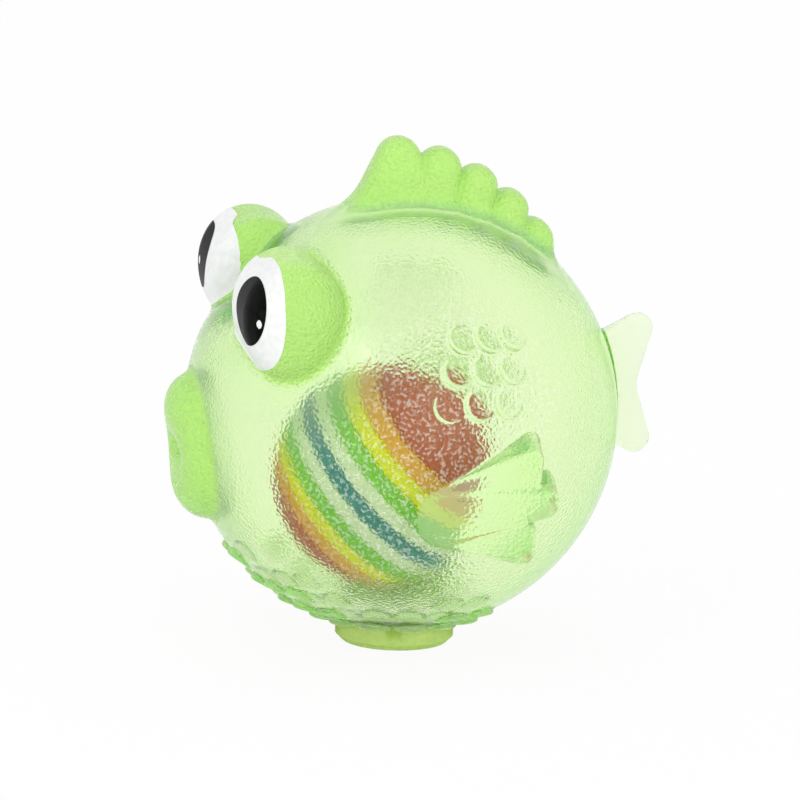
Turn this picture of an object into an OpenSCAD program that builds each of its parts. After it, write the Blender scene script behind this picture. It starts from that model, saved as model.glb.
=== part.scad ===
// Fish chew toy: a hollow soft ball-shaped fish with a striped ball rolling inside and a squeaker foot.
// Millimetres. Origin at the centre of the foot's underside, +Z up, the fish faces -Y, its left side is +X.

/* [Body] */
// outer radius of the ball-shaped body
body_r = 43; // [38:0.5:50]
// wall thickness of the hollow body
wall = 4; // [3:0.25:5]
// how far the foot stands below the lowest point of the body
foot_drop = 3; // [2:0.25:5]

/* [Eyes] */
// radius of each domed eye
eye_r = 11; // [9:0.1:13]
// eye centre, degrees from the fish's left towards its nose
eye_turn = 46.5; // [42:0.1:56]
// eye centre above level, degrees
eye_level = 34.8; // [30:0.1:42]
// height of the eye's centre above the body's surface
eye_rise = 1.6; // [0.5:0.1:3]
// how far the eye runs on towards the middle of the head
eye_long = 5; // [3:0.1:7]
// how much smaller the eye's inner end is
eye_taper = 0.3; // [0.1:0.1:0.6]
// outward turn of the gaze, degrees
gaze_out = 0; // [0:1:20]
// downward turn of the gaze, degrees
gaze_down = 1; // [0:1:15]
// half angle of the printed white, degrees
white_half = 68; // [50:1:75]
// half angle of the printed pupil, degrees
pupil_half = 32; // [25:1:45]
// how far the pupil is set outwards from the white's middle, degrees
pupil_out = 13; // [0:1:18]
// how far the pupil is set above the white's middle, degrees
pupil_up = 7; // [0:1:14]
// how far the left glint is set outwards from its pupil's middle, degrees
glint_out = 20; // [0:1:30]
// how far the left glint is set below its pupil's middle, degrees
glint_drop = 5; // [0:1:20]
// how far the right glint is set inwards from its pupil's middle, degrees
glint_in = 18; // [0:1:30]
// how far the right glint is set below its pupil's middle, degrees
glint_dip = 3; // [0:1:20]
// half angle of the printed glint, degrees
glint_half = 4; // [3:0.5:8]
// thickness of each printed coat, drawn thicker than real ink
coat = 0.15; // [0.1:0.05:0.3]
// gap left between printed coats
coat_gap = 0.04; // [0.02:0.01:0.1]

/* [Mouth] */
// radius of the ring that the lips follow
lip_ring = 7.6; // [6.8:0.1:10]
// radius of the lip roll
lip_roll = 6.3; // [4:0.1:7]
// how far below level the mouth points, degrees
mouth_down = 8.5; // [0:0.5:15]
// depth of the lip ring's middle below the body's surface
lip_sink = 2.4; // [1:0.1:4]

/* [Top fin] */
// angle of the first lobe from straight up, degrees
top_first = -2.2; // [-8:0.2:4]
// angle between lobes, degrees
top_step = 9.5; // [8:0.1:11]
// height of the first lobe's centre above the body's surface
top_reach = 8.8; // [6:0.2:12]
// how much lower each next lobe is
top_fall = 1.55; // [1.2:0.05:1.9]
// how much that drop grows with each lobe
top_bend = 0.11; // [0:0.01:0.2]
// radius of the first lobe
top_lobe = 4.4; // [3.5:0.1:5]
// how much smaller each next lobe is
top_shrink = 0.2; // [0.1:0.01:0.4]
// radius of the sloping front of the fin at its root
top_brow = 10; // [8:0.25:11]
// thickness of the fin where it leaves the body
top_t = 11.4; // [10:0.2:13]
// thickness of the fin at its highest lobe
top_thin = 8.8; // [6:0.2:9.6]

/* [Tail] */
// height of the tail's middle above the body centre
tail_lift = 5.5; // [2:0.25:8]
// tail tips behind the body centre
tail_reach = 47.3; // [44:0.1:52]
// half distance between the two tail tips
tail_half = 11; // [8:0.1:13]
// radius of the tail tips
tail_tip = 3.1; // [2.5:0.1:4]
// radius of the tail's root
tail_root = 8.2; // [7:0.1:9]
// depth of the tail's notch, ahead of the tips' centres
tail_notch = 0.6; // [0:0.1:2]
// thickness of the tail where it leaves the body
tail_t = 4.6; // [3:0.2:6]
// thickness of the tail at its tips
tail_thin = 2.4; // [1.6:0.2:2.8]

/* [Side fins] */
// fin root below level, degrees
fin_low = 15.5; // [10:0.5:20]
// fin root behind the middle, degrees
fin_back = 2.5; // [-3:0.5:6]
// outward turn of the fin from the body's tangent, degrees
fin_flare = 6; // [2:0.5:15]
// thickness of the fin
fin_t = 9.5; // [8:0.1:12]
// radius of the fin's root
fin_root = 6.4; // [5:0.1:7]
// radius of the rounded corners at the lobes' blunt ends
fin_corner = 2.6; // [1.5:0.1:3]
// corners of the upper and lower lobes, behind the fin's root
fin_reach = 15.4; // [12:0.1:18]
// how much further back the middle lobe's corners are
fin_long = 3.6; // [1:0.1:5]
// upper lobe's higher corner above the root
upper_high = 16.9; // [15:0.1:19]
// upper lobe's lower corner above the root
upper_low = 12.2; // [10:0.1:14]
// middle lobe's higher corner above the root
middle_high = 7.9; // [7.5:0.1:9]
// middle lobe's lower corner above the root
middle_low = 6.2; // [4:0.1:7]
// lower lobe's higher corner above the root
lower_high = -2.2; // [-4:0.1:0]
// lower lobe's lower corner above the root
lower_low = -6.8; // [-9:0.1:-5]
// how far the fin's root stands over the body
fin_lift = 0.4; // [0.2:0.1:0.8]
// how far the middle lobe stands over the other two
fin_lap = 0.8; // [0.4:0.1:1.2]

/* [Scales] */
// radius of one scale
scale_r = 3.2; // [2.6:0.1:3.6]
// depth of one scale, most of it sunk in the wall
scale_deep = 3; // [2:0.1:3.5]
// which way the proud edge of a side scale points: degrees below straight forward
scale_aim = 45; // [30:1:60]
// tilt of one scale, degrees
scale_tilt = 14; // [8:0.5:18]
// height of one scale's middle over the body
scale_lift = 0.4; // [0.2:0.05:0.5]
// lowest row of side scales above level, degrees
row_low = 14.6; // [12:0.2:18]
// angle between rows of side scales, degrees
row_step = 8.8; // [8:0.1:10]
// first column of side scales behind the middle, degrees
col_first = 2.5; // [-2:0.2:5]
// angle between columns of side scales, degrees
col_step = 8.4; // [7.5:0.1:10]
// how far each higher row is set back, degrees
row_lean = 2.8; // [0:0.1:4]
// first ring of belly scales away from straight down, degrees
belly_first = 20.5; // [19:0.25:23]
// angle between rings of belly scales, degrees
belly_step = 9.2; // [8.5:0.1:10.5]
// number of scales in half of the first belly ring
belly_n = 7; // [5:1:7]
// height of one belly scale's middle over the body
belly_lift = 0.7; // [0.4:0.05:1]

/* [Striped ball] */
// radius of the foam ball
ball_r = 21; // [18:0.25:22]
// thickness of one foam sheet
sheet_t = 3; // [2:0.1:3.5]
// gap between the ball and what it rolls on
roll_gap = 0.3; // [0.2:0.05:0.5]
// where the ball lies round the middle, degrees from the fish's left towards its tail
ball_turn = -23; // [-180:0.2:180]
// lean of the stripes' axis from straight up, degrees
stripe_lean = 47.6; // [0:0.2:90]
// turn of the stripes' axis round the vertical, degrees
stripe_turn = 63.6; // [-180:0.2:180]

/* [Squeaker] */
// radius of the foot that the toy stands on
foot_r = 11.75; // [11.4:0.05:13]
// chamfer round the foot's lower edge
foot_edge = 1.2; // [0.5:0.1:1.8]
// radius of the neck that passes through the wall
neck_r = 10; // [9:0.1:10.4]
// gap round the neck, in the wall and in the case
neck_fit = 0.2; // [0.1:0.05:0.3]
// gap round the foot and the case in their recesses
seat_fit = 0.3; // [0.2:0.05:0.5]
// depth of the foot's recess above the lowest point of the body
seat_deep = 1.8; // [1.7:0.05:2.2]
// wall thickness of the case
case_t = 1; // [0.8:0.1:1.4]
// height of the case above its seat
case_h = 8.5; // [7:0.1:9]
// chamfer round the case's upper edge
case_edge = 1.5; // [0.8:0.1:2]
// radius of each sound hole in the case
sound_r = 1.1; // [0.7:0.1:1.5]
// number of sound holes in the case
sound_n = 5; // [3:1:6]
// distance of the sound holes from the middle
sound_ring = 6.2; // [5:0.1:7]
// radius of the air hole in the foot's underside
air_r = 1.5; // [1:0.1:2]
// outer radius of the reed tube
tube_r = 3.8; // [3.4:0.1:4.4]
// radius of the reed tube's bore
tube_bore = 2.7; // [2.4:0.1:2.9]
// radius of the collar that hangs the tube on the neck
collar_r = 5.4; // [5:0.1:6]
// thickness of that collar
collar_t = 1; // [0.8:0.1:1.5]
// thickness of the tube's floor, and of the foot's floor over its seat
tube_floor = 1; // [0.6:0.1:1.4]
// air space over the tube, under the case's roof
reed_room = 1.3; // [0.8:0.1:2]
// how much shorter the reed is than its bed
reed_short = 0.5; // [0.2:0.1:1]
// width of the vent cut in the wedge
vent_w = 0.8; // [0.5:0.1:1.2]
// thickness of the wedge beside its vent
vent_wall = 0.9; // [0.6:0.1:1.2]
// clearance round the reed parts
reed_fit = 0.1; // [0.05:0.05:0.15]
// thickness of the reed
reed_t = 0.3; // [0.2:0.05:0.4]
// width of the air groove under the reed
groove_w = 1.8; // [1.2:0.1:2.2]
// depth of the air groove under the reed
groove_d = 1.2; // [0.8:0.1:1.6]
// length of the wedge that clamps the reed
wedge_h = 2.4; // [1.5:0.1:3]

/* [Hidden] */
$fn = 96;
clear_green = [0.55, 0.95, 0.25, 0.45];
ink_white = [0.94, 0.95, 0.92];
ink_black = [0.03, 0.03, 0.03];
olive = [0.55, 0.56, 0.42];
milk = [0.88, 0.88, 0.84];

// Where the outer belly scales lie, in degrees round Z from the fish's left: most are on the chest and behind.
belly_ring_2 = [-82, -64, -46, 20, 39, 58, 77];
belly_ring_3 = [-83, -69, -55, 66, 81];
belly_ring_4 = [-84];

// Heights and radii that follow from the sizes above.
body_z = body_r + foot_drop;
cavity_r = body_r - wall;
far = 3 * body_r;
top_lobes = 5;
eye_out = body_r + eye_rise;
eye_at = eye_out * [cos(eye_level) * cos(eye_turn), -cos(eye_level) * sin(eye_turn), sin(eye_level)];
lobe_ease = 0.15;
lobe_flare = 1;
hole_r = neck_r + neck_fit;
case_in = neck_r + neck_fit;
case_r = case_in + case_t;
seat_out = foot_drop + seat_deep;
seat_in = body_z - sqrt(pow(cavity_r, 2) - pow(hole_r, 2));
case_top = seat_in + case_h;
case_roof = case_top - case_t;
neck_top = case_roof - collar_t - reed_room;
tube_low = seat_out - tube_floor;
bed_low = tube_low + tube_floor;
bed_high = neck_top + collar_t;

// The ball rests on the case's upper edge and leans on the cavity wall.
lean_d = cavity_r - ball_r - roll_gap;
rim_d = ball_r + roll_gap;
rim_x = case_r - case_edge;
rim_z = case_top - body_z;
rim_far = sqrt(pow(rim_x, 2) + pow(rim_z, 2));
along = (pow(lean_d, 2) - pow(rim_d, 2) + pow(rim_far, 2)) / (2 * rim_far);
aside = sqrt(max(0, pow(lean_d, 2) - pow(along, 2)));
ball_out = (along * rim_x - aside * rim_z) / rim_far;
ball_up = (along * rim_z + aside * rim_x) / rim_far;

// A flat lobe: a round tip and two straight sides that run back to a root circle, just inside both circles.
module lobe(root, root_r, tip, tip_r) {
  run = tip - root;
  dir = atan2(run[1], run[0]);
  lean = acos((root_r - tip_r) / norm(run));
  a = [cos(dir + lean), sin(dir + lean)];
  b = [cos(dir - lean), sin(dir - lean)];
  root_in = root_r - lobe_ease;
  tip_in = tip_r - lobe_ease;
  translate(tip) circle(tip_r);
  polygon([root + root_in * a, root + root_in * b, tip + tip_in * b, tip + tip_in * a]);
}

// The left half of a fin in the fish's middle plane, drawn as [back, up] from the body centre.
// It gets thinner outwards, from its thickness at the body's surface to a thin edge at the given reach.
module half_fin(thick, thin, reach) {
  fall = (reach - body_r) / (thick - thin) * 2;
  intersection() {
    rotate([90, 0, 90]) translate([0, 0, -0.5]) linear_extrude(thick) children();
    translate([-1, 0, 0]) rotate([0, 90, 0])
      cylinder(r1 = body_r + fall * (thick / 2 + 1), r2 = body_r - fall * 0.25, h = thick / 2 + 1.25);
  }
}

// Moves from the body's surface at a turn round Z and a height above level; X points outwards there.
module on_body(turn, level, out) {
  rotate([0, 0, turn]) rotate([0, -level, 0]) translate([out, 0, 0]) children();
}

function top_at(i, out) = let (a = top_first + i * top_step) [out * sin(a), out * cos(a)];
function top_out(i) = body_r + top_reach - top_fall * i - top_bend * i * i;

module top_fin() {
  half_fin(top_t, top_thin, body_r + top_reach + top_lobe) {
    translate(top_at(0, cavity_r)) circle(top_brow);
    for (i = [0 : top_lobes - 1]) {
      r = top_lobe - i * top_shrink;
      lobe(top_at(i, cavity_r), i == 0 ? top_brow : r + lobe_flare, top_at(i, top_out(i)), r);
    }
  }
}

module tail_fin() {
  root = [tail_reach - tail_root - tail_notch, tail_lift];
  half_fin(tail_t, tail_thin, tail_reach + tail_tip) {
    translate(root) circle(tail_root);
    lobe(root, tail_root, [tail_reach, tail_lift + tail_half], tail_tip);
    lobe(root, tail_root, [tail_reach, tail_lift - tail_half], tail_tip);
  }
}

// A blade with a blunt upright end: two rounded corners joined to the fin's root and to each other.
module blade(root_r, reach, high, low) {
  lobe([0, 0], root_r, [reach, high], fin_corner);
  lobe([0, 0], root_r, [reach, low], fin_corner);
  end = reach + fin_corner - lobe_ease;
  polygon([[0, 0], [reach, low], [end, low], [end, high], [reach, high]]);
}

// A flat plate of a side fin, drawn backwards and upwards from the fin's root.
module fin_plate(lift) {
  rotate([90, 0, 90]) translate([0, 0, lift - fin_t]) linear_extrude(fin_t) children();
}

module side_fin() {
  on_body(fin_back, -fin_low, body_r) rotate([0, 0, -fin_flare]) {
    fin_plate(fin_lift) {
      circle(fin_root);
      blade(fin_root, fin_reach, upper_high, upper_low);
      blade(fin_root, fin_reach, lower_high, lower_low);
    }
    fin_plate(fin_lift + fin_lap) {
      circle(fin_root - fin_lap);
      blade(fin_root - fin_lap, fin_reach + fin_long, middle_high, middle_low);
    }
  }
}

// One scale: a round plate tilted so that its forward lower edge stands proud.
module side_scale(turn, level) {
  on_body(turn, level, body_r + scale_lift) rotate([scale_aim, 0, 0]) rotate([0, 0, scale_tilt])
    rotate([0, -90, 0]) cylinder(r = scale_r, h = scale_deep);
}

// One belly scale: its edge towards the foot stands proud.
module belly_scale(turn, off) {
  on_body(turn, off - 90, body_r + belly_lift) rotate([0, scale_tilt, 0])
    rotate([0, -90, 0]) cylinder(r = scale_r, h = scale_deep);
}

module scales() {
  for (row = [0 : 2]) {
    for (col = [0 : 2]) {
      side_scale(col_first + col * col_step + row * row_lean, row_low + row * row_step);
    }
  }
  for (i = [0 : belly_n - 1]) {
    belly_scale((i + 0.5) * 180 / belly_n - 90, belly_first);
  }
  for (turn = belly_ring_2) {
    belly_scale(turn, belly_first + belly_step);
  }
  for (turn = belly_ring_3) {
    belly_scale(turn, belly_first + 2 * belly_step);
  }
  for (turn = belly_ring_4) {
    belly_scale(turn, belly_first + 3 * belly_step);
  }
}

module lips() {
  rotate([90 + mouth_down, 0, 0]) translate([0, 0, body_r - lip_sink])
    rotate_extrude() translate([lip_ring, 0]) circle(lip_roll);
}

// One eye, longer from side to side than it is high, and thicker all over by the given amount.
module eye_ball(grow) {
  translate(eye_at) {
    sphere(eye_r + grow);
    translate([-eye_long, 0, 0]) sphere(eye_r - eye_taper + grow);
  }
}

// One half of the soft body, on the fish's left.
module half_body() {
  translate([0, 0, body_z]) intersection() {
    difference() {
      union() {
        sphere(body_r);
        lips();
        eye_ball(0);
        top_fin();
        tail_fin();
        side_fin();
        scales();
      }
      sphere(cavity_r);
      translate([0, 0, -far]) cylinder(r = hole_r, h = far);
      translate([0, 0, -far]) cylinder(r = foot_r + seat_fit, h = far - body_z + seat_out);
      translate([0, 0, seat_in - body_z]) cylinder(r = case_r + seat_fit, h = case_h);
    }
    translate([0, -far / 2, -far / 2]) cube(far);
  }
}

module body_left() {
  color(clear_green) half_body();
}

module body_right() {
  color(clear_green) mirror([1, 0, 0]) half_body();
}

// A printed coat: a round patch of a thin shell over the eye, kept clear of the body.
module eye_coat(layer, half, out, down) {
  under = coat_gap + layer * (coat + coat_gap);
  reach = 2 * eye_r;
  translate([0, 0, body_z]) difference() {
    intersection() {
      eye_ball(under + coat);
      translate(eye_at) rotate([90 + down, 0, out]) cylinder(r1 = 0, r2 = reach * tan(half), h = reach);
    }
    eye_ball(under);
    sphere(body_r + coat_gap);
  }
}

module white_coat() {
  color(ink_white) eye_coat(0, white_half, gaze_out, gaze_down);
}

module pupil_coat() {
  color(ink_black) eye_coat(1, pupil_half, gaze_out + pupil_out, gaze_down - pupil_up);
}

module glint_coat(out, down) {
  color(ink_white) eye_coat(2, glint_half, gaze_out + pupil_out + out, gaze_down - pupil_up + down);
}

module eye_white_left() {
  white_coat();
}

module eye_white_right() {
  mirror([1, 0, 0]) white_coat();
}

module pupil_left() {
  pupil_coat();
}

module pupil_right() {
  mirror([1, 0, 0]) pupil_coat();
}

module glint_left() {
  glint_coat(glint_out, glint_drop);
}

module glint_right() {
  mirror([1, 0, 0]) glint_coat(-glint_in, glint_dip);
}

// One foam sheet of the ball, counted from the blue middle one; the two end sheets run out to the ball's ends.
module sheet(i, tint) {
  low = i == -5 ? -ball_r - 1 : (i - 0.5) * sheet_t;
  high = i == 5 ? ball_r + 1 : (i + 0.5) * sheet_t;
  color(tint) translate([0, 0, body_z + ball_up]) rotate([0, 0, ball_turn]) translate([ball_out, 0, 0])
    rotate([0, 0, stripe_turn - ball_turn]) rotate([0, stripe_lean, 0]) intersection() {
      sphere(ball_r);
      translate([0, 0, low]) cylinder(r = ball_r + 1, h = high - low);
    }
}

module ball_red_low() {
  sheet(-5, [0.80, 0.12, 0.12]);
}

module ball_orange_low() {
  sheet(-4, [0.95, 0.48, 0.12]);
}

module ball_yellow_low() {
  sheet(-3, [0.97, 0.85, 0.12]);
}

module ball_green_low() {
  sheet(-2, [0.15, 0.58, 0.25]);
}

module ball_white_low() {
  sheet(-1, [0.93, 0.93, 0.93]);
}

module ball_blue() {
  sheet(0, [0.12, 0.25, 0.65]);
}

module ball_white_high() {
  sheet(1, [0.93, 0.93, 0.93]);
}

module ball_green_high() {
  sheet(2, [0.15, 0.58, 0.25]);
}

module ball_yellow_high() {
  sheet(3, [0.97, 0.85, 0.12]);
}

module ball_orange_high() {
  sheet(4, [0.95, 0.48, 0.12]);
}

module ball_red_high() {
  sheet(5, [0.80, 0.12, 0.12]);
}

// The foot outside, the neck through the wall, a bore for the reed tube and a small air hole below it.
module squeaker_foot() {
  color(olive) rotate_extrude() polygon([
    [air_r, 0], [foot_r - foot_edge, 0], [foot_r, foot_edge], [foot_r, seat_out], [neck_r, seat_out],
    [neck_r, neck_top], [tube_r + reed_fit, neck_top], [tube_r + reed_fit, tube_low], [air_r, tube_low]
  ]);
}

// The cup over the neck, with sound holes in its roof.
module squeaker_case() {
  color(milk) difference() {
    rotate_extrude() polygon([
      [case_in, seat_in], [case_r, seat_in], [case_r, case_top - case_edge], [case_r - case_edge, case_top],
      [0, case_top], [0, case_roof], [case_in - case_edge, case_roof], [case_in, case_roof - case_edge]
    ]);
    for (i = [0 : sound_n - 1]) {
      rotate([0, 0, i * 360 / sound_n]) translate([sound_ring, 0, 0]) cylinder(r = sound_r, h = far);
    }
  }
}

// The tube hangs by its collar on the neck's upper face.
module reed_tube() {
  color(milk) rotate_extrude() polygon([
    [air_r, tube_low], [tube_r, tube_low], [tube_r, neck_top], [collar_r, neck_top],
    [collar_r, neck_top + collar_t], [tube_bore, neck_top + collar_t], [tube_bore, bed_low], [air_r, bed_low]
  ]);
}

// A half-round bed with an air groove under the reed.
module reed_bed() {
  color(olive) difference() {
    translate([0, 0, bed_low]) cylinder(r = tube_bore - reed_fit, h = bed_high - bed_low);
    translate([0, -far / 2, 0]) cube(far);
    translate([-groove_d, -groove_w / 2, bed_low + wedge_h]) cube([far, groove_w, far]);
  }
}

// The springy tongue lying on the bed.
module reed() {
  color(milk) intersection() {
    translate([0, -tube_bore, bed_low]) cube([reed_t, 2 * tube_bore, bed_high - bed_low - reed_short]);
    translate([0, 0, bed_low]) cylinder(r = tube_bore - reed_fit, h = far);
  }
}

// The wedge that clamps the reed's lower end to the bed.
module reed_wedge() {
  color(olive) difference() {
    intersection() {
      translate([0, 0, bed_low]) cylinder(r = tube_bore - reed_fit, h = wedge_h);
      translate([reed_t, -far / 2, 0]) cube(far);
    }
    translate([reed_t + vent_wall, -vent_w / 2, 0]) cube([far, vent_w, far]);
  }
}

body_left();
body_right();
eye_white_left();
eye_white_right();
pupil_left();
pupil_right();
glint_left();
glint_right();
ball_red_low();
ball_orange_low();
ball_yellow_low();
ball_green_low();
ball_white_low();
ball_blue();
ball_white_high();
ball_green_high();
ball_yellow_high();
ball_orange_high();
ball_red_high();
squeaker_foot();
squeaker_case();
reed_tube();
reed_bed();
reed();
reed_wedge();
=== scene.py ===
import math

import bpy
import numpy as np
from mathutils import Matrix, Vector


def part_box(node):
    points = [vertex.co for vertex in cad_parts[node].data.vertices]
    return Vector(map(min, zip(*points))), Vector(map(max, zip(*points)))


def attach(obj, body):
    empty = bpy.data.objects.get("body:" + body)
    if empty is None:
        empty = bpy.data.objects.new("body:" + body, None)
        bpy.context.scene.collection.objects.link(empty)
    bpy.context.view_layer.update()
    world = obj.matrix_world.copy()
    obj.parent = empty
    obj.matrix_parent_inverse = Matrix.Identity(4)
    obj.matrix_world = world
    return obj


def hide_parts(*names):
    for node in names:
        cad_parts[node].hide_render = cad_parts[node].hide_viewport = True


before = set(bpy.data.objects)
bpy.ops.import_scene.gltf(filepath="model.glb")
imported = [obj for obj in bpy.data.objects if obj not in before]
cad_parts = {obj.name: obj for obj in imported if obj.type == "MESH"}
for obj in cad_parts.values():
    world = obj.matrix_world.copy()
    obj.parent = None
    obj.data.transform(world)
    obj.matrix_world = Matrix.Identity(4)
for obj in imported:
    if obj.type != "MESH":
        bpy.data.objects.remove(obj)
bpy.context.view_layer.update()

import openvdb
from mathutils import Matrix, Vector

# Sizes are in millimetres and degrees, most of them as in the part's source.
# The field of the skin has its origin at the body's centre.
MM = 0.001
BODY_R, CAVITY_R, BODY_Z = 43.0, 39.0, 46.0
EYE_TURN, EYE_LEVEL, EYE_RISE = -46.5, 34.8, 1.6
EYE_HALF, EYE_BARREL, EYE_END, EYE_BAG = np.array([11.76, 10.16, 11.39]), 12.0, 6.0, 13.0
BROW_DENT, BROW_LEVEL, BROW_SPREAD, BROW_WIDE = 3.0, 38.0, 9.0, 16.0
LIP_RING, LIP_ROLL, LIP_WIDE, LIP_AT, MOUTH_DOWN = 6.9, 6.3, 7.7, 40.0, 8.5
LIP_POUT, LIP_WAIST, LIP_PLUG, LIP_MELT = -0.2, 0.5, 7.4, 2.5
DENT_DEEP, DENT_WIDE, DENT_HIGH = 2.0, 4.5, 1.8
TOP_LOBES, TOP_FIRST, TOP_STEP, TOP_REACH, TOP_FALL, TOP_BEND = 5, -2.2, 9.5, 51.5, 1.5, 0.11
TOP_LOBE, TOP_SHRINK, TOP_SPLAY, TOP_BROW, TOP_MELT = 4.4, 0.2, 1.0, 10.0, 0.8
TOP_T, TOP_THIN, TOP_EASE = 11.4, 8.8, 3.6
TAIL_LIFT, TAIL_REACH, TAIL_HALF, TAIL_TIP, TAIL_ROOT, TAIL_NOTCH = 5.5, 47.3, 11.0, 3.1, 8.2, 0.6
TAIL_T, TAIL_THIN, TAIL_EASE, TAIL_MELT = 4.6, 2.4, 0.9, 1.0
FIN_LOW, FIN_BACK, FIN_FLARE, FIN_T, FIN_ROOT, FIN_CORNER = 15.5, 2.5, 6.0, 9.5, 6.4, 2.6
FIN_REACH, FIN_LONG, FIN_LIFT, FIN_LAP, FIN_EASE = 15.4, 3.6, 0.4, 0.8, 1.0
FIN_UPPER, FIN_MIDDLE, FIN_LOWER = (12.8, 8.0), (4.7, 3.2), (-3.4, -7.7)
SCALE_R, SCALE_DEEP, SCALE_AIM, SCALE_TILT, SCALE_LIFT = 3.2, 3.0, 45.0, 14.0, 0.4
SCALE_EASE, SCALE_REGION = 0.6, 6.0
ROW_LOW, ROW_STEP, COL_FIRST, COL_STEP, ROW_LEAN = 14.6, 8.8, 2.5, 8.4, 2.8
BELLY_FIRST, BELLY_STEP, BELLY_N, BELLY_LIFT = 20.5, 9.2, 7, 0.45
BELLY_RINGS = [[-82, -64, -46, 20, 39], [-83, -69, -55], [-84]]
HOLE_R, SEAT_R, SEAT_OUT, CASE_SEAT_R, SEAT_IN, CASE_H = 10.2, 12.05, 4.8, 11.5, 8.36, 8.5
BALL_R, SHEET_T, STRIPE_LEAN, STRIPE_TURN = 21.0, 3.0, 47.6, 63.6

# Widths of the blends into the body.
LIP_BLEND, EYE_BLEND, TOP_BLEND, TAIL_BLEND = 1.6, 2.0, 4.5, 1.2
FIN_BLEND, SIDE_BLEND, BELLY_BLEND = 0.6, 0.35, 0.5

# The grid that the skin is meshed from: its step, its corners, how far out it has values, and their band.
VOXEL = 0.5
GRID_LOW, GRID_HIGH, GRID_FAR, BAND = (-50.0, -52.0, -46.0), (50.0, 54.0, 60.0), 64.0, 3.0
SNAP = 0.3
TINY = 1e-6


# ---- field of the soft body ----

def turn(axis, degrees):
    return np.array(Matrix.Rotation(math.radians(degrees), 3, axis))


def soft_min(a, b, k):
    h = np.maximum(k - np.abs(a - b), 0.0) / k
    return np.minimum(a, b) - h * h * k * 0.25


def lobe(p, root, root_r, tip, tip_r):
    # distance in the plane to a lobe: a round tip and straight sides back to a root circle
    root, tip = np.asarray(root, float), np.asarray(tip, float)
    run = tip - root
    length = np.hypot(*run)
    along = (p - root) @ (run / length)
    across = np.abs((p - root) @ (np.array([-run[1], run[0]]) / length))
    slope = (root_r - tip_r) / length
    rise = math.sqrt(1 - slope * slope)
    k = across * -slope + along * rise
    d = across * rise + along * slope - root_r
    d = np.where(k < 0, np.hypot(along, across) - root_r, d)
    return np.where(k > rise * length, np.hypot(along - length, across) - tip_r, d)


def plate(flat, off, half, ease):
    # a plane outline given thickness, its edges rounded
    a, b = flat + ease, np.abs(off) - half + ease
    return np.minimum(np.maximum(a, b), 0.0) + np.hypot(np.maximum(a, 0), np.maximum(b, 0)) - ease


def half_taper(out, reach, thick, thin):
    # half the thickness of a fin that thins from the body's surface to its edge
    share = np.clip((out - BODY_R) / (reach - BODY_R), -0.5, 1)
    return (thick + (thin - thick) * share) / 2


def top_fin(p):
    q = p[:, 1:]
    out = np.hypot(q[:, 0], q[:, 1])
    flat = None
    for i in range(TOP_LOBES):
        a = math.radians(TOP_FIRST + i * TOP_STEP)
        way = np.array([math.sin(a), math.cos(a)])
        r = TOP_LOBE - i * TOP_SHRINK
        reach = TOP_REACH - TOP_FALL * i - TOP_BEND * i * i
        d = lobe(q, CAVITY_R * way, TOP_BROW if i == 0 else r + TOP_SPLAY, reach * way, r)
        flat = d if flat is None else soft_min(flat, d, TOP_MELT)
    return plate(flat, p[:, 0], half_taper(out, TOP_REACH + TOP_LOBE, TOP_T, TOP_THIN), TOP_EASE)


def tail_fin(p):
    q = p[:, 1:]
    root = [TAIL_REACH - TAIL_ROOT - TAIL_NOTCH, TAIL_LIFT]
    out = np.hypot(q[:, 0], q[:, 1])
    a = lobe(q, root, TAIL_ROOT, [TAIL_REACH, TAIL_LIFT + TAIL_HALF], TAIL_TIP)
    b = lobe(q, root, TAIL_ROOT, [TAIL_REACH, TAIL_LIFT - TAIL_HALF], TAIL_TIP)
    half = half_taper(out, TAIL_REACH + TAIL_TIP, TAIL_T, TAIL_THIN)
    return plate(soft_min(a, b, TAIL_MELT), p[:, 0], half, TAIL_EASE)


def on_body(angle, level, out):
    # a frame on the body's surface whose first axis points outwards, and its origin
    axes = turn("Z", angle) @ turn("Y", -level)
    return axes, axes @ np.array([out, 0, 0])


FIN_AXES, FIN_AT = on_body(FIN_BACK, -FIN_LOW, BODY_R)
FIN_AXES = FIN_AXES @ turn("Z", -FIN_FLARE)
EYE_AT = on_body(EYE_TURN, EYE_LEVEL, BODY_R + EYE_RISE)[1]
MOUTH_WAY = np.array([0, -math.cos(math.radians(MOUTH_DOWN)), -math.sin(math.radians(MOUTH_DOWN))])


def fin_blade(p, ends, reach, root_r, lift):
    # one lobe of a side fin: a fan from its root to two round corners
    q = (p - FIN_AT) @ FIN_AXES
    root, high, low = [0, 0], [reach, ends[0]], [reach, ends[1]]
    flat = np.minimum(lobe(q[:, 1:], root, root_r, high, FIN_CORNER),
                      lobe(q[:, 1:], root, root_r, low, FIN_CORNER))
    flat = np.minimum(flat, lobe(q[:, 1:], low, FIN_CORNER, high, FIN_CORNER))
    return plate(flat, q[:, 0] - lift + FIN_T / 2, FIN_T / 2, FIN_EASE)


def scale_disc(p, axes, at):
    q = (p - at) @ axes
    return plate(np.hypot(q[:, 1], q[:, 2]) - SCALE_R, q[:, 0] + SCALE_DEEP / 2, SCALE_DEEP / 2, SCALE_EASE)


def eye_dome(p):
    # a barrel across the head with a rounded end at its outer side and a shorter one at its inner side
    q = p - EYE_AT
    inner = np.minimum(q[:, 0] + EYE_BARREL, 0) * EYE_HALF[0] / EYE_END
    q[:, 0] = np.where(q[:, 0] > 0, q[:, 0], inner)
    q[:, 2] *= np.where(q[:, 2] > 0, 1.0, EYE_HALF[2] / EYE_BAG)
    k = np.sqrt(((q / EYE_HALF) ** 2).sum(1))
    g = np.sqrt(((q / EYE_HALF ** 2) ** 2).sum(1))
    return k * (k - 1) / np.maximum(g, TINY)


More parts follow.
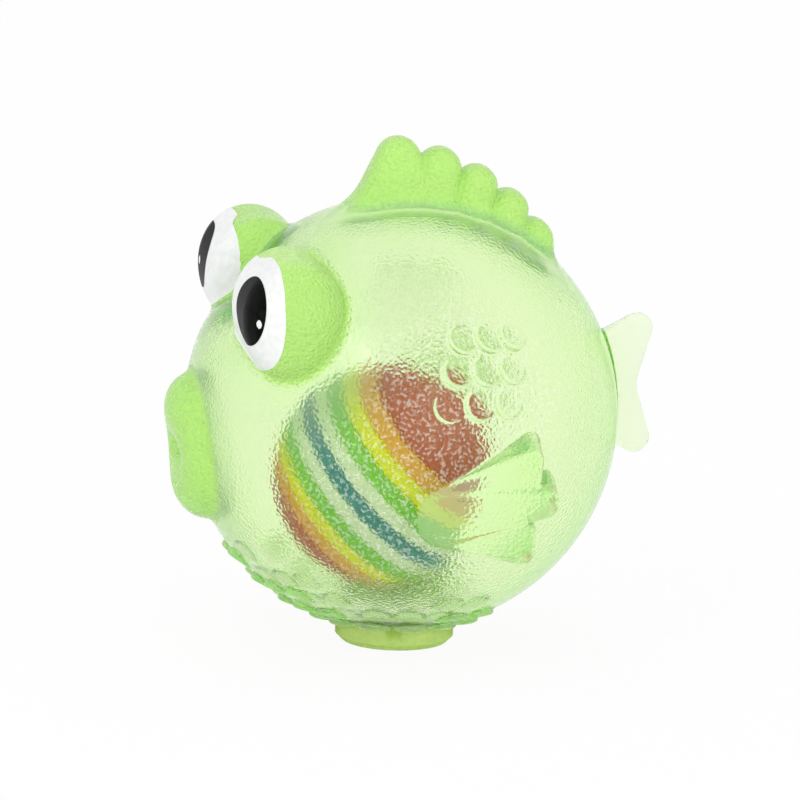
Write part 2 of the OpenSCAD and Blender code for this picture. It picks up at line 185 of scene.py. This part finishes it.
def lips(p):
    # a rolled ring, its middle filled by a ball, with a small dent for the mouth
    along = p @ MOUTH_WAY
    out = np.sqrt(np.maximum((p ** 2).sum(1) - along ** 2, 0))
    up = p @ np.cross(MOUTH_WAY, [1, 0, 0])
    rise = up / np.maximum(out, TINY)
    at = LIP_AT + LIP_POUT * rise + LIP_WAIST * (2 * rise * rise - 1)
    at = at - DENT_DEEP * np.exp(-(p[:, 0] / DENT_WIDE) ** 2 - (up / DENT_HIGH) ** 2)
    q = np.stack([out - LIP_RING, along - at], 1) / np.array([LIP_WIDE, LIP_ROLL])
    k = np.sqrt((q ** 2).sum(1))
    ring = k * (k - 1) / np.maximum(np.hypot(q[:, 0] / LIP_WIDE, q[:, 1] / LIP_ROLL), TINY)
    plug = np.hypot(out, along - at + LIP_PLUG / 3) - LIP_PLUG
    return soft_min(ring, plug, LIP_MELT)


FIN_BLADES = [
    lambda p: fin_blade(p, FIN_UPPER, FIN_REACH, FIN_ROOT, FIN_LIFT),
    lambda p: fin_blade(p, FIN_LOWER, FIN_REACH, FIN_ROOT, FIN_LIFT),
    lambda p: fin_blade(p, FIN_MIDDLE, FIN_REACH + FIN_LONG, FIN_ROOT - FIN_LAP, FIN_LIFT + FIN_LAP),
]

# axes, place and blend of each scale, those on the sides first
SCALES = []
for row in range(3):
    for col in range(3):
        angle = COL_FIRST + col * COL_STEP + row * ROW_LEAN
        axes, at = on_body(angle, ROW_LOW + row * ROW_STEP, BODY_R + SCALE_LIFT)
        SCALES.append((axes @ turn("X", SCALE_AIM) @ turn("Z", SCALE_TILT), at, SIDE_BLEND))
SIDE_SCALES = len(SCALES)
belly_foot = [(i + 0.5) * 180 / BELLY_N - 90 for i in range(BELLY_N)]
for ring, angles in enumerate([belly_foot] + BELLY_RINGS):
    for angle in angles:
        axes, at = on_body(angle, BELLY_FIRST + ring * BELLY_STEP - 90, BODY_R + BELLY_LIFT)
        SCALES.append((axes @ turn("Y", SCALE_TILT), at, BELLY_BLEND))

# each entry: centre and reach of the region it can change, its field, the width of its blend into the body
FIN_MID_AT = FIN_AT + FIN_AXES @ np.array([0, 8.0, 5.0])
FEATURES = [
    (LIP_AT * MOUTH_WAY, 20.0, lips, LIP_BLEND),
    (EYE_AT - np.array([8.0, 0, 0]), 26.0, eye_dome, EYE_BLEND),
    (np.array([0, 18.0, 46.0]), 34.0, top_fin, TOP_BLEND),
    (np.array([0, 42.0, 5.5]), 24.0, tail_fin, TAIL_BLEND),
]
FEATURES += [(FIN_MID_AT, 26.0, blade, FIN_BLEND) for blade in FIN_BLADES]
FEATURES += [(at, SCALE_REGION, lambda p, axes=axes, at=at: scale_disc(p, axes, at), blend)
             for axes, at, blend in SCALES]


def brow_dent(p):
    # the hollow between the two eyes
    level = np.degrees(np.arctan2(p[:, 2], -p[:, 1]))
    return BROW_DENT * np.exp(-((level - BROW_LEVEL) / BROW_SPREAD) ** 2 - (p[:, 0] / BROW_WIDE) ** 4)


def mirrored(p):
    # both sides are alike, so the fields are worked out on one
    m = p.copy()
    m[:, 0] = np.abs(m[:, 0])
    return m


def outside(p):
    # signed distance to the moulding's outside, in millimetres
    m = mirrored(p)
    d = np.sqrt((m ** 2).sum(1)) - BODY_R + brow_dent(m)
    low, high = m.min(0), m.max(0)
    for at, reach, shape, width in FEATURES:
        if (low > at + reach).any() or (high < at - reach).any():
            continue
        near = np.flatnonzero((np.abs(m - at) < reach).all(1))
        if len(near):
            d[near] = soft_min(d[near], shape(m[near]), width)
    return d


def skin_field(p):
    # the moulding less its chamber, the hole in the belly and the squeaker's two seats
    d = outside(p)
    out = np.hypot(p[:, 0], p[:, 1])
    z = p[:, 2] + BODY_Z
    d = np.maximum(d, CAVITY_R - np.sqrt((p ** 2).sum(1)))
    d = np.maximum(d, -np.maximum(out - HOLE_R, p[:, 2]))
    d = np.maximum(d, -np.maximum(out - SEAT_R, z - SEAT_OUT))
    return np.maximum(d, -np.maximum(out - CASE_SEAT_R, np.maximum(SEAT_IN - z, z - SEAT_IN - CASE_H)))


def gradient(field, p, step=0.05):
    g = np.empty_like(p)
    for i in range(3):
        s = np.zeros(3)
        s[i] = step
        g[:, i] = field(p + s) - field(p - s)
    return g / np.maximum(np.linalg.norm(g, axis=1, keepdims=True), 1e-9)


def in_frame(p):
    # from millimetres about the body's centre to metres in the part's frame
    return p * MM + np.array([0, 0, BODY_Z * MM])


def add_mesh(name, points, faces):
    me = bpy.data.meshes.new(name)
    me.from_pydata([tuple(v) for v in points], [], [tuple(f) for f in faces])
    me.polygons.foreach_set("use_smooth", [True] * len(me.polygons))
    me.update()
    ob = bpy.data.objects.new(name, me)
    bpy.context.collection.objects.link(ob)
    return ob


def build_skin():
    low, high = np.array(GRID_LOW), np.array(GRID_HIGH)
    count = np.ceil((high - low) / VOXEL / 2).astype(int) * 2 + 1
    low[0] = -VOXEL * (count[0] // 2)
    values = np.empty(count, np.float32)
    ys, zs = np.meshgrid(low[1] + VOXEL * np.arange(count[1]),
                         low[2] + VOXEL * np.arange(count[2]), indexing="ij")
    flat = np.stack([np.zeros(ys.size), ys.ravel(), zs.ravel()], 1)
    middle = count[0] // 2
    for i in range(middle + 1):
        flat[:, 0] = VOXEL * (i - middle)
        out = np.sqrt((flat ** 2).sum(1))
        d = np.full(len(flat), BAND)
        near = np.flatnonzero((out > CAVITY_R - BAND) & (out < GRID_FAR))
        d[near] = skin_field(flat[near])
        values[i] = np.clip(d, -BAND, BAND).reshape(count[1:])
        values[2 * middle - i] = values[i]
    grid = openvdb.FloatGrid(BAND)
    grid.copyFromArray(values)
    points, tris, quads = grid.convertToPolygons(0.0, 0.0)
    points = low + VOXEL * np.asarray(points, float)
    for _ in range(2):
        d = skin_field(points)
        points -= np.clip(d, -SNAP, SNAP)[:, None] * gradient(skin_field, points)
    faces = [tuple(int(i) for i in f) for f in list(tris) + list(quads)]
    return points, faces


# Looks of the rubber, from point to point: how milky it is (haze), how strong its moulded texture (grain),
# how strong the painted highlights on the flanks over the ball, light specks that stand in for reflected
# light, and its roughness (satin).
INNER_WALL = 1.0
THICK_HAZE, THICK_FADE, NEAR_HAZE, NEAR_FADE = 1.2, 2.0, 0.45, 8.0
TAIL_HAZE, TAIL_NEAR = 0.08, 0.1
FIN_HAZE, FIN_NEAR, FIN_PROUD = 0.4, 0.3, 0.3
BELLY_HAZE, SCALE_NEAR, SCALE_PROUD = 0.6, 0.2, 0.12
FLANK_FROM, FLANK_FADE = 0.6, 0.25
GRAIN_PLAIN, GRAIN_FLANK, GRAIN_DROP, GRAIN_FADE = 0.3, 0.6, 0.6, 6.0
GRAIN_THICK, GRAIN_HAZE, GRAIN_RIM, RIM_WIDE = 1.6, 0.5, 0.15, 1.1
# strength of the painted highlight specks, and the haze at which they fade out
SPARKLE_PAINT, SPARKLE_PAINT_HAZE, BALL_PROUD = 0.28, 0.2, 1.2
SATIN_PLAIN, SATIN_MORE = 0.12, 0.08


def skin_looks(points):
    m = mirrored(points)
    out = np.linalg.norm(m, axis=1)
    inner = out < CAVITY_R + INNER_WALL
    on_ball = out < BODY_R + BALL_PROUD
    flank = np.clip((m[:, 0] / BODY_R - FLANK_FROM) / FLANK_FADE, 0.0, 1.0)
    # the thick forms and the rubber next to them
    thick = np.minimum(np.minimum(eye_dome(m), lips(m)), top_fin(m))
    away = np.maximum(thick, 0)
    haze = np.clip(THICK_HAZE - thick / THICK_FADE, 0.0, 1.0)
    haze = np.maximum(haze, NEAR_HAZE * np.exp(-(away / NEAR_FADE) ** 2))
    haze = np.maximum(haze, TAIL_HAZE * (tail_fin(m) < TAIL_NEAR))
    blades = np.min([blade(m) for blade in FIN_BLADES], axis=0)
    haze = np.maximum(haze, FIN_HAZE * (blades < FIN_NEAR) * (out > BODY_R + FIN_PROUD))
    grain = (GRAIN_PLAIN + GRAIN_FLANK * flank) * (1 - GRAIN_DROP * np.exp(-away / GRAIN_FADE))
    grain = np.where(haze > GRAIN_HAZE, GRAIN_THICK, grain)
    for number, (axes, at, _) in enumerate(SCALES):
        near = np.flatnonzero((np.abs(m - at) < SCALE_REGION).all(1) & ~inner)
        q = (m[near] - at) @ axes
        rim = np.hypot(q[:, 1], q[:, 2]) - SCALE_R > -RIM_WIDE
        on = (scale_disc(m[near], axes, at) < SCALE_NEAR) & (out[near] > BODY_R + SCALE_PROUD)
        grain[near[on & rim]] = GRAIN_RIM
        if number >= SIDE_SCALES:
            haze[near[on]] = BELLY_HAZE
    # painted highlights: light specks on the flanks over the ball that stand in for reflections on the
    # texture
    glitter = SPARKLE_PAINT * flank * np.clip(1 - haze / SPARKLE_PAINT_HAZE, 0.0, 1.0) * on_ball
    satin = SATIN_PLAIN + SATIN_MORE * np.maximum(haze, flank * on_ball)
    for values, inside in ((grain, 0.0), (haze, 0.0), (glitter, 0.0), (satin, SATIN_PLAIN)):
        values[inner] = inside
    return {"grain": grain, "haze": haze, "glitter": glitter, "satin": satin}


points, faces = build_skin()
skin = add_mesh("skin", in_frame(points), faces)
normals = gradient(skin_field, points)
# one quad shows which way the mesh faces
sample = faces[0] if len(faces[0]) > 3 else faces[-1]
a, b, c = (points[i] for i in sample[:3])
if np.dot(np.cross(b - a, c - a), normals[sample[0]]) < 0:
    skin.data.flip_normals()
skin.data.normals_split_custom_set_from_vertices([tuple(n) for n in normals])
for name, values in skin_looks(points).items():
    attribute = skin.data.attributes.new(name, "FLOAT", "POINT")
    attribute.data.foreach_set("value", values.astype(np.float32))
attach(skin, "fish")
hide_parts("body_left", "body_right")


# ---- materials ----

CLEAR, MILKY, MILKY_THROUGH = (0.97, 1.0, 0.90), (0.64, 1.0, 0.27), 0.35
RUBBER_IOR, RUBBER_TINT, RUBBER_DENSITY = 1.35, (0.66, 0.984, 0.16), 50
GRAIN_SCALE, GRAIN_DETAIL, GRAIN_HEIGHT = 1500, 0.5, 0.0003
SPARKLE_FROM, SPARKLE_FULL = 0.5, 0.66
FOAM_LOOK = {"rough": 0.85, "scale": 2600, "detail": 2.0, "height": 0.00012}
INK_LOOK = {"scale": 700, "detail": 3.0, "height": 0.00003}
PLASTIC_LOOK = {"scale": 900, "detail": 3.0, "height": 0.00003}


def new_material(name):
    mat = bpy.data.materials.new(name)
    mat.use_nodes = True
    tree = mat.node_tree
    return mat, tree, tree.nodes["Principled BSDF"], tree.nodes["Material Output"]


def bsdf_inputs(mat):
    return mat.node_tree.nodes["Principled BSDF"].inputs


def add_noise(tree, scale, detail):
    coords = tree.nodes.new("ShaderNodeTexCoord")
    noise = tree.nodes.new("ShaderNodeTexNoise")
    noise.inputs["Scale"].default_value = scale
    noise.inputs["Detail"].default_value = detail
    tree.links.new(coords.outputs["Object"], noise.inputs["Vector"])
    return noise.outputs["Fac"]


def add_bump(tree, height, distance, bsdf):
    bump = tree.nodes.new("ShaderNodeBump")
    bump.inputs["Distance"].default_value = distance
    tree.links.new(height, bump.inputs["Height"])
    tree.links.new(bump.outputs["Normal"], bsdf.inputs["Normal"])
    return bump


def two_tone(tree, factor, dark, light, low=0.35, high=0.65):
    ramp = tree.nodes.new("ShaderNodeValToRGB")
    ramp.color_ramp.elements[0].position = low
    ramp.color_ramp.elements[1].position = high
    ramp.color_ramp.elements[0].color = (*dark, 1)
    ramp.color_ramp.elements[1].color = (*light, 1)
    tree.links.new(factor, ramp.inputs["Fac"])
    return ramp.outputs["Color"]


def ranged(tree, value, low, high, to_low, to_high):
    node = tree.nodes.new("ShaderNodeMapRange")
    for name, number in (("From Min", low), ("From Max", high), ("To Min", to_low), ("To Max", to_high)):
        node.inputs[name].default_value = number
    tree.links.new(value, node.inputs["Value"])
    return node.outputs["Result"]


def combined(tree, operation, a, b):
    # two values, each a socket or a number, through a Math node
    node = tree.nodes.new("ShaderNodeMath")
    node.operation = operation
    for socket, value in zip(node.inputs, (a, b)):
        if isinstance(value, float):
            socket.default_value = value
        else:
            tree.links.new(value, socket)
    return node.outputs[0]


def point_value(tree, name):
    node = tree.nodes.new("ShaderNodeAttribute")
    node.attribute_name = name
    return node.outputs["Fac"]


def rubber_material():
    mat, tree, bsdf, out = new_material("clear_green_rubber")
    bsdf.inputs["IOR"].default_value = RUBBER_IOR
    # the plain rubber, for tools that don't follow the links below
    bsdf.inputs["Base Color"].default_value = (*CLEAR, 1)
    bsdf.inputs["Roughness"].default_value = SATIN_PLAIN
    bsdf.inputs["Transmission Weight"].default_value = 1.0
    haze = point_value(tree, "haze")
    tree.links.new(two_tone(tree, haze, CLEAR, MILKY, 0.0, 1.0), bsdf.inputs["Base Color"])
    tree.links.new(point_value(tree, "satin"), bsdf.inputs["Roughness"])
    noise = add_noise(tree, GRAIN_SCALE, GRAIN_DETAIL)
    # painted highlights: in specks over the ball the rubber lets less light through, so its pale colour
    # shows as if reflecting light
    sparkle_spots = ranged(tree, noise, SPARKLE_FROM, SPARKLE_FULL, 0.0, 1.0)
    sparkle_paint_spots = combined(tree, "MULTIPLY", sparkle_spots, point_value(tree, "glitter"))
    through = combined(tree, "SUBTRACT", ranged(tree, haze, 0.0, 1.0, 1.0, MILKY_THROUGH), sparkle_paint_spots)
    tree.links.new(through, bsdf.inputs["Transmission Weight"])
    bump = add_bump(tree, noise, GRAIN_HEIGHT, bsdf)
    tree.links.new(point_value(tree, "grain"), bump.inputs["Strength"])
    absorb = tree.nodes.new("ShaderNodeVolumeAbsorption")
    absorb.inputs["Color"].default_value = (*RUBBER_TINT, 1)
    absorb.inputs["Density"].default_value = RUBBER_DENSITY
    tree.links.new(absorb.outputs["Volume"], out.inputs["Volume"])
    return mat


def mottled_material(name, dark, light, rough, scale, detail, height):
    # two shades of one colour in fine spots, with a relief to match
    mat, tree, bsdf, _ = new_material(name)
    spots = add_noise(tree, scale, detail)
    tree.links.new(two_tone(tree, spots, dark, light), bsdf.inputs["Base Color"])
    bsdf.inputs["Roughness"].default_value = rough
    add_bump(tree, spots, height, bsdf)
    return mat


skin.data.materials.append(rubber_material())


# ---- striped foam ball ----

FOAM = {
    "red": ((0.56, 0.09, 0.05), (0.68, 0.14, 0.07)),
    "orange": ((0.96, 0.38, 0.03), (1.0, 0.48, 0.06)),
    "yellow": ((0.98, 0.84, 0.0), (1.0, 0.96, 0.02)),
    "green": ((0.22, 0.62, 0.04), (0.33, 0.76, 0.09)),
    "white": ((0.86, 0.92, 0.88), (0.97, 1.0, 0.97)),
    "blue": ((0.04, 0.25, 0.36), (0.08, 0.36, 0.46)),
}
SHEET_EASE, SHEET_GAP, SHEET_STEPS, SHEET_SIDES = 0.35, 0.02, 14, 128
foam_mats = {tint: mottled_material("foam_" + tint, *pair, **FOAM_LOOK) for tint, pair in FOAM.items()}
sheet_names = ["ball_red_low", "ball_orange_low", "ball_yellow_low", "ball_green_low", "ball_white_low",
               "ball_blue", "ball_white_high", "ball_green_high", "ball_yellow_high", "ball_orange_high",
               "ball_red_high"]
corners = np.array([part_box(n) for n in sheet_names])
ball_at = (corners[:, 0].min(0) + corners[:, 1].max(0)) / 2
ball_axes = turn("Z", STRIPE_TURN) @ turn("Y", STRIPE_LEAN)


def lathe(profile, sides):
    # revolves (radius, height) points; an end on the axis is closed with one point
    points, faces, rings = [], [], []
    for r, z in profile:
        if r < TINY:
            rings.append([len(points)])
            points.append((0, 0, z))
        else:
            rings.append(list(range(len(points), len(points) + sides)))
            points += [(r * math.cos(2 * math.pi * i / sides), r * math.sin(2 * math.pi * i / sides), z)
                       for i in range(sides)]
    for low, high in zip(rings, rings[1:]):
        for i in range(sides):
            j = (i + 1) % sides
            if len(low) == 1:
                faces.append((low[0], high[j], high[i]))
            elif len(high) == 1:
                faces.append((low[i], low[j], high[0]))
            else:
                faces.append((low[i], low[j], high[j], high[i]))
    return np.array(points), faces


def sheet_profile(low, high):
    # half outline of a foam sheet cut from the ball, its edges eased; the two end sheets are caps
    bottom, top = low <= -BALL_R, high >= BALL_R
    profile = [] if bottom else [(0, low + SHEET_GAP)]
    for step in range(SHEET_STEPS + 1):
        t = step / SHEET_STEPS
        if top:
            z = BALL_R * math.cos(math.acos(low / BALL_R) * (1 - t))
        elif bottom:
            z = -BALL_R * math.cos(math.acos(-high / BALL_R) * t)
        else:
            z = low + SHEET_GAP + (high - low - 2 * SHEET_GAP) * t
        r = math.sqrt(max(0, BALL_R ** 2 - z ** 2))
        near = min(math.inf if bottom else z - low, math.inf if top else high - z)
        if near < SHEET_EASE:
            r -= SHEET_EASE - math.sqrt(max(0, SHEET_EASE ** 2 - (SHEET_EASE - max(near, 0)) ** 2))
        profile.append((r, z))
    if not top:
        profile.append((0, high - SHEET_GAP))
    return profile


for i, name in enumerate(sheet_names, -5):
    low = -BALL_R if i == -5 else (i - 0.5) * SHEET_T
    high = BALL_R if i == 5 else (i + 0.5) * SHEET_T
    pts, fcs = lathe(sheet_profile(low, high), SHEET_SIDES)
    ob = add_mesh("foam_" + name, pts @ ball_axes.T * MM + ball_at, fcs)
    tint = name.split("_")[1]
    ob.data.materials.append(foam_mats[tint])
    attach(ob, "ball")
    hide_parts(name)


# ---- printed eyes ----

# Outlines of the prints in a plane that faces the fish's left: (right, up), half sizes, power, lean.
PRINT_AZ, PRINT_EL, PRINT_ROLL = 79.0, 13.0, 1.7
WHITE_OUTER = ((-27.34, 19.62), (5.02, 11.45), 2.6, 1.5)
WHITE_INNER = ((-38.23, 29.22), (6.53, 11.5), 2.2, 0.0)
PUPIL_SEEN = ((-29.4, 20.61), (2.95, 7.1), 2.0, 1.0)
WHITE_FADE, WHITE_SHIFT = 4.0, 2.5
# How far a print may reach on the dome, and the (out, up) of its middle, in degrees.
WHITE_REACH, PUPIL_REACH, GLINT_HALF = 85.0, 60.0, 3.4
WHITE_MIDDLE, PUPIL_MIDDLE = (0.0, 0.0), (11.0, 8.0)
GLINT_LEFT, GLINT_RIGHT = (36.5, 0.7), (-4.7, 2.9)
PUPIL_HALF, PUPIL_SMOOTH = 36.0, 14
# Height of each coat over the rubber and how ragged its edge is.
WHITE_COAT, PUPIL_COAT, GLINT_COAT = (0.06, 0.006), (0.12, 0.008), (0.18, 0.03)
FOOT_FILLET, OUTER_MORE, BENT_MOST = 0.45, 0.24, 1.5
PATCH_RINGS, PATCH_SIDES, SCAN_STEPS, HALVINGS, SETTLINGS = 40, 160, 60, 10, 6
BLACK_IOR = 1.06
print_axes = turn("Z", PRINT_AZ) @ turn("X", -PRINT_EL) @ turn("Y", -PRINT_ROLL)


def seen_at(p, outline, open_front):
    # 1 on the outline, less inside it; with open_front it has no edge towards the fish's front
    centre, half, power, lean = outline
    x, y = (p @ print_axes)[:, [0, 2]].T - np.array(centre)[:, None]
    c, s = math.cos(math.radians(lean)), math.sin(math.radians(lean))
    x, y = x * c + y * s, y * c - x * s
    across = np.maximum(x, 0) if open_front else np.abs(x)
    return ((across / half[0]) ** power + (np.abs(y) / half[1]) ** power) ** (1 / power)


def white_edge(p):
    # one outline on the outer part of the dome and, mirrored, another on its inner part
    share = np.clip((p[:, 0] - EYE_AT[0]) / WHITE_FADE + WHITE_SHIFT, 0.0, 1.0)
    inner = p * np.array([-1, 1, 1])
    return share * seen_at(p, WHITE_OUTER, True) + (1 - share) * seen_at(inner, WHITE_INNER, True)


def pupil_edge(p):
    return seen_at(p, PUPIL_SEEN, False)


def eye_patch(side, outline, reach, middle, coat, even):
    # a patch of ink that follows the moulded dome and stops at its outline or at the dome's foot
    (out, up), (lift, ragged), sides = middle, coat, PATCH_SIDES
    axes = turn("Z", out) @ turn("X", 90 - up)
    spin = 2 * np.pi * np.arange(sides) / sides
    waves = np.sin(5 * spin + 1.3) + 0.7 * np.sin(11 * spin + 0.4) + 0.6 * np.sin(47 * spin)
    wobble = 1 + ragged * waves / 2.3

    def place(angle):
        # the points of the moulding at these angles from the patch's middle, one for each spin
        way = np.stack([np.sin(angle) * np.cos(spin), np.sin(angle) * np.sin(spin), np.cos(angle)], 1)
        way = way @ axes.T
        run = np.where(way[:, 0] > 0, 1.0, 1 / np.maximum(np.hypot(way[:, 1], way[:, 2]), 0.1))
        p = EYE_AT + EYE_HALF * way * run[:, None]
        normal = way / EYE_HALF
        normal[:, 0] = np.maximum(normal[:, 0], 0)
        normal /= np.linalg.norm(normal, axis=1, keepdims=True)
        for _ in range(SETTLINGS):
            p = p - normal * (outside(p) - lift)[:, None]
        return p

    def beyond(p):
        past = eye_dome(p) > lift + FOOT_FILLET
        return past | (outline(p) > 1) if outline else past

    # the first step past the edge, then halvings between it and the step before
    most = np.radians(reach) * (1 + OUTER_MORE * np.clip((np.cos(spin) + 0.5) / 0.4, 0.0, 1.0))
    low, far = np.zeros(sides), most.copy()
    found = np.zeros(sides, bool)
    for step in np.arange(1, SCAN_STEPS + 1) / SCAN_STEPS:
        past = beyond(place(most * step)) & ~found
        low = np.where(past, most * (step - 1 / SCAN_STEPS), low)
        far = np.where(past, most * step, far)
        found |= past
    for _ in range(HALVINGS):
        mid = (low + far) / 2
        past = beyond(place(mid))
        low, far = np.where(past, low, mid), np.where(past, mid, far)
    edge = np.where(found, low, most) * wobble
    if even:
        # half way to a round patch, with the corners smoothed
        edge = (edge + math.radians(even) * wobble) / 2
        shifts = range(-PUPIL_SMOOTH, PUPIL_SMOOTH + 1)
        edge = sum(np.roll(edge, k) for k in shifts) / len(shifts)
    pts, fcs = [place(np.zeros(sides))[0]], []
    inward = np.clip(-2 * np.cos(spin), 0, 1)
    bent = np.minimum(edge, BENT_MOST)
    for t in np.arange(1, PATCH_RINGS + 1) / PATCH_RINGS:
        pts += list(place(edge * t + inward * (np.arctan(t * np.tan(bent)) - bent * t)))
    for i in range(sides):
        j = (i + 1) % sides
        fcs.append((0, 1 + i, 1 + j))
        for ring in range(PATCH_RINGS - 1):
            a = 1 + ring * sides
            fcs.append((a + i, a + sides + i, a + sides + j, a + j))
    pts = np.array(pts)
    if side < 0:
        pts[:, 0] *= -1
        fcs = [f[::-1] for f in fcs]
    return in_frame(pts), fcs


ink_white = mottled_material("ink_white", (0.86, 0.88, 0.87), (0.94, 0.95, 0.94), 0.35, **INK_LOOK)
ink_black = mottled_material("ink_black", (0.004, 0.005, 0.004), (0.009, 0.010, 0.009), 0.3, **INK_LOOK)
bsdf_inputs(ink_black)["IOR"].default_value = BLACK_IOR
for side, word, glint in ((1, "left", GLINT_LEFT), (-1, "right", GLINT_RIGHT)):
    for node, outline, reach, middle, coat, even, mat, slot in (
        ("eye_white", white_edge, WHITE_REACH, WHITE_MIDDLE, WHITE_COAT, None, ink_white, "white_ink"),
        ("pupil", pupil_edge, PUPIL_REACH, PUPIL_MIDDLE, PUPIL_COAT, PUPIL_HALF, ink_black, "black_ink"),
        ("glint", None, GLINT_HALF, glint, GLINT_COAT, None, ink_white, "white_ink"),
    ):
        pts, fcs = eye_patch(side, outline, reach, middle, coat, even)
        ob = add_mesh("print_%s_%s" % (node, word), pts, fcs)
        ob.data.materials.append(mat)
        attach(ob, "fish")
        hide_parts("%s_%s" % (node, word))


# ---- squeaker ----

FOOT_THROUGH, CASE_THROUGH, SQUEAKER_IOR = 0.35, 1.0, 1.08
# The foot's yellow-green is partly painted light: the green light that reaches it through the rubber, over
# a greyer plastic. The reed's bed and wedge share it.
green_lit_foot_mat = mottled_material("foot_plastic", (0.60, 0.80, 0.21), (0.67, 0.88, 0.25), 0.45, **PLASTIC_LOOK)
case_mat = mottled_material("case_plastic", (0.93, 1.0, 0.84), (0.97, 1.0, 0.90), 0.3, **PLASTIC_LOOK)
for mat, through in ((green_lit_foot_mat, FOOT_THROUGH), (case_mat, CASE_THROUGH)):
    bsdf_inputs(mat)["Transmission Weight"].default_value = through
    bsdf_inputs(mat)["IOR"].default_value = SQUEAKER_IOR
for node, mat in (("squeaker_foot", green_lit_foot_mat), ("squeaker_case", case_mat), ("reed_tube", case_mat),
                  ("reed_bed", green_lit_foot_mat), ("reed", case_mat), ("reed_wedge", green_lit_foot_mat)):
    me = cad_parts[node].data
    me.materials.clear()
    me.materials.append(mat)


# ---- floor, light and camera, in metres ----

FLOOR, FLOOR_WHITE = 12, 0.93
WORLD_LIGHT, WORLD_SEEN = 0.85, 1.0
LAMP_AIM = (0, 0, 0.05)
CAM_AZ, CAM_EL, CAM_ROLL, CAM_FAR, PIXEL = 79.0, 13.0, 1.7, 2.5, 0.000198
AIM_UP, AIM_LEFT, SENSOR, PICTURE = 0.00244, 0.0001, 36, 800
BOUNCES, DULL_BOUNCES = 300, 8


def seen_ray(tree):
    # 1 for rays from the camera, off a gloss or through the rubber, else 0
    path = tree.nodes.new("ShaderNodeLightPath")
    value = path.outputs["Is Camera Ray"]
    for other in ("Is Glossy Ray", "Is Transmission Ray"):
        value = combined(tree, "MAXIMUM", value, path.outputs[other])
    return value


floor_corners = [(-FLOOR, -FLOOR, 0), (FLOOR, -FLOOR, 0), (FLOOR, FLOOR, 0), (-FLOOR, FLOOR, 0)]
floor = add_mesh("floor", floor_corners, [(0, 1, 2, 3)])
floor_mat, tree, bsdf, out = new_material("floor_white")
bsdf.inputs["Base Color"].default_value = (0.97, 0.97, 0.97, 1)
bsdf.inputs["Roughness"].default_value = 0.9
white = tree.nodes.new("ShaderNodeEmission")
white.inputs["Strength"].default_value = 1.0
mix = tree.nodes.new("ShaderNodeMixShader")
tree.links.new(combined(tree, "MULTIPLY", seen_ray(tree), FLOOR_WHITE), mix.inputs["Fac"])
tree.links.new(bsdf.outputs[0], mix.inputs[1])
tree.links.new(white.outputs[0], mix.inputs[2])
tree.links.new(mix.outputs[0], out.inputs["Surface"])
floor.data.materials.append(floor_mat)

scene = bpy.context.scene
world = bpy.data.worlds.new("studio")
scene.world = world
world.use_nodes = True
tree = world.node_tree
back = tree.nodes["Background"]
back.inputs["Color"].default_value = (1, 1, 1, 1)
strength = ranged(tree, seen_ray(tree), 0.0, 1.0, WORLD_LIGHT, WORLD_SEEN)
tree.links.new(strength, back.inputs["Strength"])


def lamp(name, at, width, power):
    data = bpy.data.lights.new(name, "AREA")
    data.size = width
    data.energy = power
    ob = bpy.data.objects.new(name, data)
    ob.location = at
    ob.rotation_euler = (Vector(LAMP_AIM) - Vector(at)).to_track_quat("-Z", "Y").to_euler()
    bpy.context.collection.objects.link(ob)


lamp("key", (0.6, -0.5, 0.75), 0.18, 1.3)
lamp("fill", (1.04, 0.27, 0.32), 0.5, 1.9)

az, el, roll = (math.radians(a) for a in (CAM_AZ, CAM_EL, CAM_ROLL))
to_cam = Vector((math.sin(az) * math.cos(el), -math.cos(az) * math.cos(el), math.sin(el)))
right = Vector((math.cos(az), math.sin(az), 0))
up = to_cam.cross(right)
right, up = right * math.cos(roll) + up * math.sin(roll), up * math.cos(roll) - right * math.sin(roll)
aim = Vector((0, 0, BODY_Z * MM)) + up * AIM_UP - right * AIM_LEFT
cam_data = bpy.data.cameras.new("camera")
cam_data.sensor_width = SENSOR
cam_data.lens = CAM_FAR / PIXEL * SENSOR / PICTURE
cam = bpy.data.objects.new("camera", cam_data)
stand = Matrix((right, up, to_cam)).transposed().to_4x4()
stand.translation = aim + to_cam * CAM_FAR
cam.matrix_world = stand
bpy.context.collection.objects.link(cam)
scene.camera = cam
scene.view_settings.view_transform = "Standard"
scene.cycles.max_bounces = BOUNCES
scene.cycles.glossy_bounces = BOUNCES
scene.cycles.transmission_bounces = BOUNCES
scene.cycles.diffuse_bounces = DULL_BOUNCES
